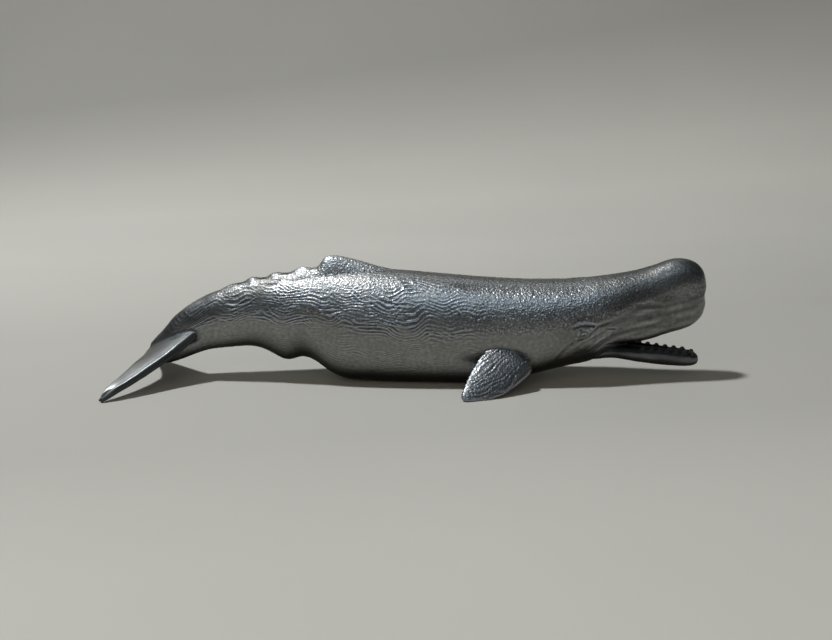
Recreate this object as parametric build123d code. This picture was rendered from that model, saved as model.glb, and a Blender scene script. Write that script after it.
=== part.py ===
"""A sperm whale figurine: six metal castings, pegged and slotted into each other and soldered.

The whale rests on a flat table on its belly, on both flipper tips and on both fluke tips. Its
head points along +X, its left side along +Y, and +Z is up. The origin lies on the table, in the
middle of the whale's length and breadth. All lengths are millimetres.
"""
from build123d import *
from math import cos, radians, sin
import os

# Driving sizes of the whale
overall_length = 150.0
back_height = 32.0
body_breadth = 20.4

# Castings: the wall of the hollow body, and the gap that solder fills at each peg and slot
wall = 2.4
seam_gap = 0.08

# Cutting tools run past the metal by this much
overrun = 5.0

# Every cross-section is a closed curve through this many points
section_points = 20

# Side view of the body, from the end of the tail stock to the brow: each row holds the place along
# overall_length and the height as a share of back_height
back_line_shares = [
    (-0.443, 0.286),
    (-0.435, 0.337),
    (-0.423, 0.392),
    (-0.407, 0.484),
    (-0.391, 0.552),
    (-0.371, 0.623),
    (-0.352, 0.676),
    (-0.333, 0.716),
    (-0.313, 0.748),
    (-0.280, 0.790),
    (-0.240, 0.824),
    (-0.200, 0.858),
    (-0.160, 0.886),
    (-0.108, 0.905),
    (-0.060, 0.908),
    (0.000, 0.890),
    (0.080, 0.857),
    (0.140, 0.834),
    (0.200, 0.820),
    (0.250, 0.820),
    (0.290, 0.829),
    (0.330, 0.849),
    (0.370, 0.882),
    (0.400, 0.917),
    (0.425, 0.958),
    (0.443, 0.986),
    (0.462, 0.988),
    (0.478, 0.966),
    (0.490, 0.922),
    (0.497, 0.862),
    (0.500, 0.800),
]
belly_line_shares = [
    (-0.443, 0.226),
    (-0.435, 0.165),
    (-0.420, 0.137),
    (-0.400, 0.153),
    (-0.373, 0.200),
    (-0.345, 0.246),
    (-0.313, 0.268),
    (-0.280, 0.281),
    (-0.255, 0.268),
    (-0.225, 0.202),
    (-0.206, 0.168),
    (-0.185, 0.194),
    (-0.160, 0.157),
    (-0.135, 0.070),
    (-0.110, 0.020),
    (-0.070, 0.004),
    (-0.020, -0.006),
    (0.040, -0.010),
    (0.090, -0.012),
    (0.135, -0.006),
    (0.187, 0.036),
    (0.237, 0.088),
    (0.283, 0.138),
    (0.312, 0.176),
    (0.332, 0.238),
    (0.350, 0.292),
    (0.372, 0.316),
    (0.396, 0.330),
    (0.418, 0.358),
    (0.440, 0.392),
    (0.462, 0.420),
    (0.478, 0.452),
    (0.490, 0.496),
    (0.497, 0.546),
    (0.500, 0.610),
]

# Top view of the body: half breadths as shares of body_breadth
half_breadth_shares = [
    (-0.443, 0.034),
    (-0.435, 0.070),
    (-0.420, 0.100),
    (-0.397, 0.128),
    (-0.360, 0.167),
    (-0.320, 0.202),
    (-0.270, 0.247),
    (-0.220, 0.302),
    (-0.170, 0.366),
    (-0.120, 0.424),
    (-0.070, 0.464),
    (0.000, 0.492),
    (0.080, 0.500),
    (0.150, 0.494),
    (0.220, 0.470),
    (0.270, 0.446),
    (0.313, 0.406),
    (0.347, 0.346),
    (0.380, 0.296),
    (0.413, 0.262),
    (0.449, 0.232),
    (0.470, 0.206),
    (0.484, 0.172),
    (0.494, 0.126),
    (0.500, 0.070),
]

# How square the body's sections are above and below their middle: 2 is an ellipse
upper_square_shares = [(-0.443, 2.0), (-0.10, 2.05), (0.10, 2.2), (0.33, 2.4), (0.47, 2.4), (0.50, 2.1)]
lower_square_shares = [
    (-0.443, 2.0),
    (-0.300, 1.9),
    (-0.206, 1.6),
    (-0.150, 1.8),
    (-0.050, 2.1),
    (0.180, 2.2),
    (0.280, 2.0),
    (0.332, 2.2),
    (0.372, 2.7),
    (0.430, 2.6),
    (0.478, 2.3),
    (0.500, 2.0),
]

# Where the sections of the body stand along overall_length: close together where its line turns
tail_stock_stations_share = (-0.443, -0.435, -0.420, -0.400, -0.375, -0.345, -0.310, -0.280, -0.255)
vent_stations_share = (-0.230, -0.206, -0.183, -0.160, -0.138, -0.112)
trunk_stations_share = (-0.075, -0.030, 0.025, 0.080, 0.135, 0.187, 0.237, 0.283)
throat_stations_share = (0.312, 0.332, 0.350, 0.372)
head_stations_share = (0.396, 0.418, 0.440, 0.462, 0.478, 0.490, 0.497, 0.500)

# The hollow in the body follows the stations between these two places, and draws in at its ends
hollow_rear_share = -0.260
hollow_front_share = 0.450
hollow_end_walls = 1.6

# The crest on the back, from the hump to the last knuckle: along the middle, and along both
# flanks, where it dies away into the body
crest_half_width = 3.2
crest_middle_shares = [
    (-0.010, 0.885),
    (-0.046, 0.924),
    (-0.071, 0.957),
    (-0.097, 0.992),
    (-0.118, 1.012),
    (-0.132, 1.015),
    (-0.142, 1.000),
    (-0.148, 0.958),
    (-0.161, 0.915),
    (-0.172, 0.921),
    (-0.183, 0.920),
    (-0.196, 0.889),
    (-0.207, 0.871),
    (-0.219, 0.881),
    (-0.230, 0.874),
    (-0.244, 0.834),
    (-0.255, 0.839),
    (-0.265, 0.842),
    (-0.278, 0.806),
    (-0.292, 0.792),
    (-0.306, 0.773),
    (-0.320, 0.735),
    (-0.336, 0.698),
]
crest_flank_shares = [
    (-0.010, 0.830),
    (-0.080, 0.846),
    (-0.140, 0.840),
    (-0.200, 0.800),
    (-0.260, 0.748),
    (-0.300, 0.690),
    (-0.336, 0.620),
]
crest_floor_share = 0.56

# Locating posts inside the body: where they stand, and the spigot on each right-hand post
post_diameter = 5.0
spigot_diameter = 2.4
spigot_length = 3.0
post_place_shares = [(-0.200, 0.54), (0.055, 0.64), (0.400, 0.66)]

# Eyes and the hollow across the blunt snout
eye_radius = 0.95
eye_place_shares = (0.289, 0.393, 0.452)
snout_hollow_radius = 2.6
snout_hollow_depth = 0.6
snout_hollow_share = 0.700

# Flippers: a broad leaf that sweeps back, out and down. Its round upper end lies on the flank,
# and a peg runs from it into the body. Each row holds the place along flipper_length, the leading
# and the trailing edge as shares of flipper_chord, and the thickness as a share of
# flipper_thickness.
flipper_length = 20.3
flipper_chord = 11.5
flipper_thickness = 3.4
flipper_station_shares = [
    (-0.082, 0.215, 0.095, 0.30),
    (-0.066, 0.315, -0.010, 0.56),
    (-0.040, 0.372, -0.140, 0.76),
    (0.010, 0.405, -0.280, 0.92),
    (0.080, 0.422, -0.395, 0.97),
    (0.160, 0.432, -0.485, 0.94),
    (0.270, 0.436, -0.530, 0.87),
    (0.385, 0.430, -0.528, 0.78),
    (0.520, 0.400, -0.435, 0.68),
    (0.660, 0.325, -0.340, 0.58),
    (0.780, 0.220, -0.232, 0.50),
    (0.870, 0.118, -0.140, 0.42),
    (0.915, 0.045, -0.070, 0.30),
]
flipper_root_shares = (0.181, -0.456, 0.247)
flipper_span_direction = Vector(-0.751, -0.525, -0.398)
flipper_chord_direction = Vector(0.560, -0.390, -0.730)
flipper_peg_diameter = 3.0
flipper_peg_length = 6.4
flipper_peg_root_share = 0.090
flipper_peg_flat_depth = 0.5
flipper_boss_diameter = 10.6

# Fluke: two drooping lobes and the plate between them, turned a little to the whale's left. Each
# row holds the distance from the middle as a share of the half span, the leading and the trailing
# edge as shares of overall_length and back_height, and the thickness as a share of
# fluke_thickness.
fluke_span = 40.2
fluke_thickness = 2.4
fluke_station_shares = [
    (0.000, -0.3500, 0.430, -0.4446, 0.252, 1.00),
    (0.080, -0.3535, 0.415, -0.4454, 0.240, 1.00),
    (0.174, -0.3655, 0.364, -0.4474, 0.224, 0.98),
    (0.299, -0.3855, 0.292, -0.4514, 0.210, 0.94),
    (0.448, -0.4055, 0.230, -0.4576, 0.188, 0.88),
    (0.597, -0.4245, 0.174, -0.4652, 0.158, 0.80),
    (0.746, -0.4440, 0.120, -0.4744, 0.124, 0.71),
    (0.871, -0.4618, 0.075, -0.4830, 0.092, 0.60),
    (0.955, -0.4760, 0.034, -0.4890, 0.049, 0.48),
    (1.000, -0.4850, 0.012, -0.4920, 0.020, 0.32),
]
fluke_taper_share = 0.30
fluke_squareness = 3.1
fluke_turn_degrees = 3.5

# Lower jaw: two arms that leave the throat and join into a slender rod. Each row holds the place
# along overall_length, top and bottom as shares of back_height, and the half width as a share of
# jaw_width.
jaw_width = 6.0
jaw_squareness = 2.5
jaw_station_shares = [
    (0.3000, 0.300, 0.205, 0.72),
    (0.3200, 0.312, 0.192, 0.90),
    (0.3420, 0.322, 0.200, 0.90),
    (0.3620, 0.316, 0.186, 0.80),
    (0.3850, 0.302, 0.162, 0.68),
    (0.4100, 0.286, 0.142, 0.58),
    (0.4400, 0.268, 0.126, 0.50),
    (0.4650, 0.252, 0.118, 0.44),
    (0.4820, 0.236, 0.120, 0.36),
    (0.4910, 0.212, 0.136, 0.24),
    (0.4940, 0.190, 0.155, 0.12),
]
jaw_tenon_width = 4.6
jaw_tenon_height = 2.0
jaw_tenon_length = 4.0
throat_top_share = 0.370

# The trough between the two rows of teeth: its width as a share of the jaw's, and its depth
trough_width_share = 0.42
trough_depth = 0.9
trough_rear_share = 0.335
trough_front_share = 0.478

# Teeth of the lower jaw, in two rows that follow its edges
tooth_pitch = 2.2
teeth_per_row = 7
tooth_height = 0.18
tooth_root_radius = 0.76
tooth_tip_radius = 0.42
tooth_sink = 0.6
tooth_row_front_share = 0.484
tooth_row_width_share = 0.70


def place(x_share, y_share, z_share):
    """A point given as shares of the whale's length, breadth and back height."""
    return Vector(x_share * overall_length, y_share * body_breadth, z_share * back_height)


def signed_power(value, power):
    """A power that keeps the sign of its base."""
    return abs(value) ** power * (1 if value >= 0 else -1)


def closed_curve(point_at):
    """A smooth closed wire through points that a function gives for angles round the section."""
    angles = [radians(360 * step / section_points) for step in range(section_points)]
    return Wire(Spline(*[point_at(angle) for angle in angles], periodic=True))


def smooth(rows, x, column=1):
    """Reads one column of a table of shares at x, along a smooth curve through its rows."""

    def slope(index):
        before, after = rows[max(index - 1, 0)], rows[min(index + 1, len(rows) - 1)]
        return (after[column] - before[column]) / (after[0] - before[0])

    index = max(i for i, row in enumerate(rows[:-1]) if row[0] <= x or i == 0)
    near, far = rows[index], rows[index + 1]
    step = far[0] - near[0]
    t = (x - near[0]) / step
    start = near[column] * (1 + 2 * t) * (1 - t) ** 2 + slope(index) * step * t * (1 - t) ** 2
    finish = far[column] * t**2 * (3 - 2 * t) - slope(index + 1) * step * t**2 * (1 - t)
    return start + finish


def superellipse(x, half_width, top, bottom, upper, lower):
    """A cross-section of body or jaw, square to the whale's length."""
    middle = (top + bottom) / 2
    half_height = (top - bottom) / 2

    def point_at(angle):
        squareness = upper if sin(angle) >= 0 else lower
        y = half_width * signed_power(cos(angle), 2 / squareness)
        z = middle + half_height * signed_power(sin(angle), 2 / squareness)
        return Vector(x, y, z)

    return closed_curve(point_at)


def body_stations():
    """Where the sections of the body stand, from the tail stock to the brow."""
    rear = tail_stock_stations_share + vent_stations_share
    return rear + trunk_stations_share + throat_stations_share + head_stations_share


def body_section(x_share, inset=0.0):
    """One cross-section of the body, drawn in from the skin by inset."""
    half_width = smooth(half_breadth_shares, x_share) * body_breadth - inset
    top = smooth(back_line_shares, x_share) * back_height - inset
    bottom = smooth(belly_line_shares, x_share) * back_height + inset
    upper = smooth(upper_square_shares, x_share)
    lower = smooth(lower_square_shares, x_share)
    return superellipse(x_share * overall_length, half_width, top, bottom, upper, lower)


def crest_profile(y, shares):
    """A side view of the crest at the distance y from the middle of the back."""
    line = [place(x, 0, z) + Vector(0, y, 0) for x, z in shares]
    front = place(shares[0][0], 0, crest_floor_share) + Vector(0, y, 0)
    rear = place(shares[-1][0], 0, crest_floor_share) + Vector(0, y, 0)
    return Wire([Spline(*line), Line(line[-1], rear), Line(rear, front), Line(front, line[0])])


def crest():
    """The hump and the knuckles, highest along the middle and falling away to both flanks."""
    profiles = [
        crest_profile(-crest_half_width, crest_flank_shares),
        crest_profile(0.0, crest_middle_shares),
        crest_profile(crest_half_width, crest_flank_shares),
    ]
    return Solid.make_loft(profiles)


def snout_hollow():
    """The tool for the shallow hollow that runs across the blunt front of the head."""
    centre = place(head_stations_share[-1], 0, snout_hollow_share)
    centre = centre + Vector(snout_hollow_radius - snout_hollow_depth, 0, 0)
    return Pos(centre) * Cylinder(snout_hollow_radius, body_breadth, rotation=(90, 0, 0))


def eye():
    """The right eye, a small dome in the skin."""
    x, y, z = eye_place_shares
    return Pos(place(x, -y, z)) * Sphere(eye_radius)


def right_side(solid):
    """The half of a solid that lies on the whale's right."""
    reach = overall_length + overrun
    return solid & Box(reach, reach, reach, align=(Align.CENTER, Align.MAX, Align.CENTER))


def above_table(solid):
    """A casting ground flat where it would reach below the table."""
    reach = overall_length + overrun
    return solid - Box(reach, reach, reach, align=(Align.CENTER, Align.CENTER, Align.MAX))


# Flippers


def flipper_plane():
    """The right flipper's own axes: x runs along its span and y towards its leading edge."""
    normal = flipper_span_direction.cross(flipper_chord_direction)
    return Plane(place(*flipper_root_shares), x_dir=flipper_span_direction, z_dir=normal)


def flipper_blade(gap=0.0):
    """The blade in its own axes, from its root to its tip, grown by a gap."""

    def section(row):
        span_share, lead_share, trail_share, thickness_share = row
        lead = lead_share * flipper_chord + gap
        trail = trail_share * flipper_chord - gap
        half_thickness = thickness_share * flipper_thickness / 2 + gap
        middle, half_chord = (lead + trail) / 2, (lead - trail) / 2
        x = span_share * flipper_length
        return closed_curve(
            lambda angle: Vector(x, middle + half_chord * cos(angle), half_thickness * sin(angle))
        )

    return Solid.make_loft([section(row) for row in flipper_station_shares])


def flipper_peg(gap=0.0):
    """The peg that runs from inside the blade into the body. Its flat keeps it from turning."""
    radius = flipper_peg_diameter / 2 + gap
    length = flipper_peg_length + gap
    centre = Pos(flipper_peg_root_share * flipper_length - length / 2, 0, 0)
    rod = centre * Cylinder(radius, length, rotation=(0, 90, 0))
    keep = Box(length, 2 * radius, 2 * radius - flipper_peg_flat_depth, align=Align.CENTER)
    return rod & centre * Pos(0, 0, -flipper_peg_flat_depth / 2) * keep


def flipper_boss():
    """The thick place inside the flank that carries the flipper's upper end and its peg."""
    length = flipper_peg_length + wall + overrun
    start = flipper_peg_root_share * flipper_length - flipper_peg_length - wall
    centre = Pos(start + length / 2, 0, 0)
    return centre * Cylinder(flipper_boss_diameter / 2, length, rotation=(0, 90, 0))


def right_flipper():
    """The right flipper with its peg."""
    return above_table(flipper_plane().location * (flipper_blade() + flipper_peg()))


# Fluke


def fluke_lobe(gap):
    """The right lobe from the middle of the fluke to its tip, grown by a gap."""

    def section(row):
        span_share, lead_x, lead_z, trail_x, trail_z, thickness_share = row
        lead = place(lead_x, 0, lead_z)
        trail = place(trail_x, 0, trail_z)
        aft = (trail - lead).normalized()
        up = Vector(aft.Z, 0, -aft.X)
        half_chord = (trail - lead).length / 2 + gap
        half_thickness = thickness_share * fluke_thickness / 2 + gap
        centre = (lead + trail) / 2 + Vector(0, -span_share * fluke_span / 2, 0)

        def point_at(angle):
            rearward = signed_power(cos(angle), 2 / fluke_squareness)
            upward = signed_power(sin(angle), 2 / fluke_squareness)
            thinning = 1 - fluke_taper_share * rearward
            return centre + aft * half_chord * rearward + up * half_thickness * thinning * upward

        return closed_curve(point_at)

    return Solid.make_loft([section(row) for row in fluke_station_shares])


def fluke_form(gap=0.0):
    """Both lobes and the plate between them, turned about the line through their tips."""
    lobe = fluke_lobe(gap)
    tip_line = Pos(fluke_station_shares[-1][3] * overall_length, 0, 0)
    turn = tip_line * Rot(0, 0, -fluke_turn_degrees) * tip_line.inverse()
    return turn * (lobe + mirror(lobe, about=Plane.XZ))


# Lower jaw


def jaw_rod(gap=0.0):
    """The jaw without its teeth, from the roots of its arms to its chin, grown by a gap."""

    def section(row):
        x_share, top_share, bottom_share, half_share = row
        half_width = half_share * jaw_width + gap
        top = top_share * back_height + gap
        bottom = bottom_share * back_height - gap
        x = x_share * overall_length
        return superellipse(x, half_width, top, bottom, jaw_squareness, jaw_squareness)

    return Solid.make_loft([section(row) for row in jaw_station_shares])


def jaw_tenon(gap=0.0):
    """The flat tongue behind the jaw that enters the throat."""
    x_share, top_share, bottom_share, _ = jaw_station_shares[0]
    root = place(x_share, 0, (top_share + bottom_share) / 2)
    length = jaw_tenon_length + gap
    width = jaw_tenon_width + 2 * gap
    height = jaw_tenon_height + 2 * gap
    return Pos(root) * Box(length, width, height, align=(Align.MAX, Align.CENTER, Align.CENTER))


def teeth():
    """Two rows of blunt cones along the edges of the jaw."""
    cone = Cone(
        tooth_root_radius,
        tooth_tip_radius,
        tooth_height + tooth_sink,
        align=(Align.CENTER, Align.CENTER, Align.MIN),
    )
    placed = []
    for number in range(teeth_per_row):
        x = tooth_row_front_share * overall_length - number * tooth_pitch
        top = smooth(jaw_station_shares, x / overall_length) * back_height
        half_width = smooth(jaw_station_shares, x / overall_length, column=3) * jaw_width
        for side in (-1, 1):
            y = side * half_width * tooth_row_width_share
            placed.append(Pos(x, y, top - tooth_sink) * cone)
    return placed


def jaw_trough():
    """The tool for the trough along the top of the jaw, which holds the tongue."""

    def section(x_share):
        top = smooth(jaw_station_shares, x_share) * back_height
        half_width = smooth(jaw_station_shares, x_share, column=3) * jaw_width * trough_width_share
        centre = Vector(x_share * overall_length, 0, top)
        return closed_curve(
            lambda angle: centre + Vector(0, half_width * cos(angle), trough_depth * sin(angle))
        )

    places = [row[0] for row in jaw_station_shares if trough_rear_share < row[0] < trough_front_share]
    return Solid.make_loft([section(x) for x in [trough_rear_share, *places, trough_front_share]])


def lower_jaw():
    """The jaw with its tenon, its trough and its teeth."""
    solid = jaw_rod() + jaw_tenon() - jaw_trough()
    for tooth in teeth():
        solid = solid + tooth
    return solid


# Body


def hollow():
    """The space inside the body, clear of posts, bosses and the thick floor of the throat."""
    places = [x for x in body_stations() if hollow_rear_share < x < hollow_front_share]
    insets = [wall] * len(places)
    insets[0] = insets[-1] = wall * hollow_end_walls
    space = Solid.make_loft([body_section(x, inset) for x, inset in zip(places, insets)])
    for x, z in post_place_shares:
        space = space - Pos(place(x, 0, z)) * post()
    boss = flipper_plane().location * flipper_boss()
    space = space - boss - mirror(boss, about=Plane.XZ)
    return space - throat_floor()


def post():
    """The round of a locating post, right through the body."""
    return Cylinder(post_diameter / 2, body_breadth, rotation=(90, 0, 0))


def throat_floor():
    """The solid floor of the throat that carries the jaw."""
    x = jaw_station_shares[0][0] * overall_length - jaw_tenon_length - wall
    floor = Box(
        overall_length,
        body_breadth,
        back_height,
        align=(Align.MIN, Align.CENTER, Align.MAX),
    )
    return Pos(x, 0, throat_top_share * back_height) * floor


def body_half():
    """The right half of the body, with its pockets for flipper, fluke and jaw."""
    skin = Solid.make_loft([body_section(x) for x in body_stations()])
    half = right_side(skin + crest()) - hollow() - snout_hollow()
    half = half + right_side(eye())
    half = half - flipper_plane().location * (flipper_blade(seam_gap) + flipper_peg(seam_gap))
    half = half - jaw_rod(seam_gap) - jaw_tenon(seam_gap)
    return above_table(half)


def spigots(gap=0.0):
    """The pins that cross the seam, from the right-hand posts into the left-hand ones."""
    radius = spigot_diameter / 2 + gap
    length = 2 * (spigot_length + gap)
    pin = Cylinder(radius, length, rotation=(90, 0, 0))
    return [Pos(place(x, 0, z)) * pin for x, z in post_place_shares]


def castings():
    """Every casting of the whale, by name."""
    half = body_half()
    fluke_slot = fluke_form(seam_gap)
    right_half = half - fluke_slot
    left_half = mirror(half, about=Plane.XZ) - fluke_slot
    for pin, bore in zip(spigots(), spigots(seam_gap)):
        right_half = right_half + pin
        left_half = left_half - bore
    flipper = right_flipper()
    return {
        "body_shell_right": right_half,
        "body_shell_left": left_half,
        "lower_jaw": lower_jaw(),
        "flipper_right": flipper,
        "flipper_left": mirror(flipper, about=Plane.XZ),
        "tail_fluke": above_table(fluke_form()),
    }


os.makedirs("parts", exist_ok=True)
for name, solid in castings().items():
    export_step(solid, f"parts/{name}.step")
    print(f"{name}: {solid.volume:.1f} cubic millimetres")
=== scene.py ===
# %% [markdown]
# # A sperm whale cast in dark metal
# This lesson dresses a small cast whale that lies on a pale table. The castings come in as a
# plain frame with the right size and place. Here they get what the sculptor and the finisher
# gave them: wrinkled skin, pebbled grain, folds round the eye, and a dark wax that stays in the
# hollows while the ridges are rubbed bright.

# %% The tools
from itertools import product
from math import cos, degrees, radians, sin

import bpy
import numpy as np
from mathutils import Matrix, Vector
from mathutils.bvhtree import BVHTree


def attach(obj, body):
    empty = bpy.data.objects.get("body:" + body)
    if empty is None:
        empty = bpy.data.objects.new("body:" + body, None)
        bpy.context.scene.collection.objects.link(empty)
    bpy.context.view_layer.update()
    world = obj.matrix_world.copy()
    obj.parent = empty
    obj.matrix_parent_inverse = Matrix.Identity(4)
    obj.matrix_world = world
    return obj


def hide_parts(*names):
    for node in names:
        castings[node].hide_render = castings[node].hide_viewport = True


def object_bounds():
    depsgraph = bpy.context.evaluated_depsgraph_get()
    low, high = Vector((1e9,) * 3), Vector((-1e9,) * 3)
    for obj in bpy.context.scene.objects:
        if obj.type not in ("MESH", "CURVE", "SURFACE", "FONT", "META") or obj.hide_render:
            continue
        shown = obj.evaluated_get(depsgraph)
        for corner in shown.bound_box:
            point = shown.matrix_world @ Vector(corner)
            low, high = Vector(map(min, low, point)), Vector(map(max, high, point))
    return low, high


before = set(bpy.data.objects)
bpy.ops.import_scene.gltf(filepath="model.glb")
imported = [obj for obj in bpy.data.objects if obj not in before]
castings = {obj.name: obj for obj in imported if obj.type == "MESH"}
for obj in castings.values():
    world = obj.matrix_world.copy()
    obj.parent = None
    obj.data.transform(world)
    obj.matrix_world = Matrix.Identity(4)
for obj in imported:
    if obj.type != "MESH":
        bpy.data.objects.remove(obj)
cad_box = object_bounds()
print("Castings in the frame:", ", ".join(sorted(castings)))

# %% [markdown]
# ## Sizes
# Blender works in metres. A hand-sized casting is easier to think about in millimetres, so one
# name turns the one into the other, and every length of the stage and the finish is written with
# it. The skin is worked in plain millimetres, and becomes metres when its pieces are built.

# %% One millimetre
MM = 0.001
cad_low, cad_high = cad_box
print("The whale is", [round(side / MM, 1) for side in (cad_high - cad_low)], "mm")

# %% [markdown]
# ## The camera
# The picture was taken from a low seat at the table, with a short tele view that keeps the whale
# nearly side-on. A 50 mm lens, 14 degrees of downward tilt and this place give the same outline.
# Nothing is shifted or blurred, so that the whale can be looked at from any other side too.

# %% The camera
camera_place = Vector((1.7 * MM, -285.9 * MM, 87.0 * MM))
camera_tilt = radians(14)
lens_length = 50
film_width = 36
nearest_seen = 10 * MM

view = bpy.data.cameras.new("table_view")
view.lens = lens_length
view.sensor_width = film_width
view.clip_start = nearest_seen
camera = bpy.data.objects.new("table_view", view)
camera.location = camera_place
camera.rotation_euler = (radians(90) - camera_tilt, 0, 0)
bpy.context.scene.collection.objects.link(camera)
bpy.context.scene.camera = camera
print("Camera at", [round(c / MM, 1) for c in camera_place], "mm")

# %% [markdown]
# ## The table and the paper behind it
# The whale lies on a long sheet of pale paper that runs flat under it and then curves up behind,
# so that no edge shows. One profile, swept sideways, makes it: a flat stretch, a quarter turn
# and an upright. Glossy metal mirrors this sheet, so its size matters even where it isn't seen.

# %% The paper sheet
sheet_half_width = 1200 * MM
sheet_front = -1300 * MM
sheet_bend_start = 230 * MM
sheet_bend_radius = 420 * MM
sheet_top = 1100 * MM
bend_steps = 40


def paper_profile():
    """Side view of the sheet, from its front edge to its upper edge."""
    line = [(sheet_front, 0.0)]
    for step in range(bend_steps + 1):
        turn = radians(90) * step / bend_steps
        y = sheet_bend_start + sheet_bend_radius * sin(turn)
        z = sheet_bend_radius * (1 - cos(turn))
        line.append((y, z))
    line.append((sheet_bend_start + sheet_bend_radius, sheet_top))
    return line


def paper_sheet():
    """The sheet as one mesh."""
    line = paper_profile()
    points = [(side * sheet_half_width, y, z) for y, z in line for side in (-1, 1)]
    faces = [(2 * i, 2 * i + 1, 2 * i + 3, 2 * i + 2) for i in range(len(line) - 1)]
    mesh = bpy.data.meshes.new("paper_sheet")
    mesh.from_pydata(points, [], faces)
    mesh.shade_smooth()
    sheet = bpy.data.objects.new("paper_sheet", mesh)
    bpy.context.scene.collection.objects.link(sheet)
    return sheet


paper = paper_sheet()
print("Paper sheet with", len(paper.data.polygons), "faces")

# %% [markdown]
# ## Small helpers for shader nodes
# A finish is a chain of nodes. These helpers add a node, set its sockets and join it to what
# feeds it, so that each material below reads as a short recipe.

# %% Node helpers
def new_material(name):
    """A fresh material with only its output and a surface shader."""
    material = bpy.data.materials.new(name)
    material.use_nodes = True
    return material, material.node_tree


def add_node(tree, kind, settings=None, sockets=None):
    """Adds a node, sets its own settings, then sets sockets or joins them to other nodes."""
    node = tree.nodes.new(kind)
    for key, value in (settings or {}).items():
        setattr(node, key, value)
    for key, value in (sockets or {}).items():
        if isinstance(value, bpy.types.NodeSocket):
            tree.links.new(value, node.inputs[key])
        else:
            node.inputs[key].default_value = value
    return node


def surface_of(tree):
    """The surface shader that a new material starts with."""
    return tree.nodes["Principled BSDF"]


def grey_map(tree, value, low, high, dark, light):
    """Turns a value between low and high into one between dark and light."""
    sockets = {"Value": value, "From Min": low, "From Max": high, "To Min": dark, "To Max": light}
    return add_node(tree, "ShaderNodeMapRange", {"clamp": True}, sockets).outputs["Result"]


def maths(tree, operation, *values):
    """The result of one sum on some numbers or sockets."""
    settings = {"operation": operation}
    return add_node(tree, "ShaderNodeMath", settings, dict(enumerate(values))).outputs[0]


def clouds(tree, place, scale, detail):
    """Cloudy noise between 0 and 1."""
    sockets = {"Vector": place, "Scale": scale, "Detail": detail}
    return add_node(tree, "ShaderNodeTexNoise", None, sockets).outputs["Fac"]


def mixed(tree, share, first, second, blend="MIX"):
    """Two colours, blended: none of the second at a share of 0."""
    settings = {"data_type": "RGBA", "blend_type": blend}
    sockets = {"Factor": share, 6: first, 7: second}
    return add_node(tree, "ShaderNodeMix", settings, sockets).outputs[2]


print("Helpers:", ", ".join(f.__name__ for f in (add_node, grey_map, maths, clouds, mixed)))

# %% [markdown]
# ## The paper's finish
# Matt card has no shine and a very slight cloudiness. The uneven light that falls on it is
# painted into its tone: it is palest where it starts to rise, well behind the whale, a little
# darker round the whale, and it greys towards its upper end. The painted change runs a little
# askew, further back on the right. A row of painted light tones along the sheet sets this, and a
# faint noise keeps it from looking like a flat fill.

# %% The paper's material
paper_hue = (0.985, 1.0, 0.965)
paper_roughness = 0.9
paper_shine = 0.15
# How far the painted light on the paper runs askew.
painted_light_skew = 0.22
cloud_scale = 9.0
cloud_detail = 5.0
cloud_range = (0.3, 0.7)
cloud_tones = (0.965, 1.0)
# Painted light and shade on the paper: its tone at each depth along the sheet.
painted_light_tones = [
    (-180 * MM, 0.52),
    (-100 * MM, 0.50),
    (-40 * MM, 0.44),
    (60 * MM, 0.47),
    (190 * MM, 0.62),
    (290 * MM, 0.66),
    (350 * MM, 0.60),
    (410 * MM, 0.48),
    (460 * MM, 0.39),
    (520 * MM, 0.385),
]


def paper_finish():
    """Matt card with painted light: a slow change of tone from front to back."""
    material, tree = new_material("pale_card")
    shader = surface_of(tree)
    shader.inputs["Roughness"].default_value = paper_roughness
    shader.inputs["Specular IOR Level"].default_value = paper_shine
    place = add_node(tree, "ShaderNodeTexCoord").outputs["Object"]
    split = add_node(tree, "ShaderNodeSeparateXYZ", None, {"Vector": place})
    depth = maths(tree, "MULTIPLY_ADD", split.outputs["X"], -painted_light_skew, split.outputs["Y"])
    front, back = painted_light_tones[0][0], painted_light_tones[-1][0]
    share = grey_map(tree, depth, front, back, 0.0, 1.0)
    tones = add_node(tree, "ShaderNodeValToRGB", None, {"Fac": share})
    stops = tones.color_ramp.elements
    for number, (y, tone) in enumerate(painted_light_tones):
        at = (y - front) / (back - front)
        stop = stops[number] if number < 2 else stops.new(at)
        stop.position = at
        stop.color = (*[tone * tint for tint in paper_hue], 1)
    dimmed = grey_map(tree, clouds(tree, place, cloud_scale, cloud_detail), *cloud_range, *cloud_tones)
    clouded = mixed(tree, 1.0, tones.outputs["Color"], dimmed, "MULTIPLY")
    tree.links.new(clouded, shader.inputs["Base Color"])
    return material


paper.data.materials.append(paper_finish())
print("Paper finish:", paper.data.materials[0].name)

# %% [markdown]
# ## The light
# The shadow under the whale is crisp and falls a little towards its head: one lamp hangs high
# over the tail, about 20 degrees from upright and a little on the camera's side. Metal shows
# what it mirrors, so two weak panels stand for the windows of the room. A wide, cool one in
# front is the bluish band on the upper flank, and a pale one behind greys the top of the back
# and the fluke. They would wash out the shadow, so they are kept off matt surfaces. The rest of
# the room is dim, which is what the inky parts of the metal mirror. Light that comes back from
# the walls lifts the shadow: one wide, weak lamp in front stands for it, and the metal doesn't
# mirror that one.

# %% The lamp and the room
lamp_lean = radians(20)
lamp_forward = radians(7)
lamp_direction = Vector((-sin(lamp_lean), -sin(lamp_forward), cos(lamp_lean))).normalized()
lamp_distance = 800 * MM
lamp_place = lamp_direction * lamp_distance
lamp_sides = (75 * MM, 75 * MM)
lamp_watts = 5.2
lamp_colour = (1.0, 0.985, 0.96)

cool_place = Vector((-180 * MM, -430 * MM, 700 * MM))
cool_sides = (1150 * MM, 640 * MM)
cool_watts = 3.2
cool_colour = (0.70, 0.86, 1.0)

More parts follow.
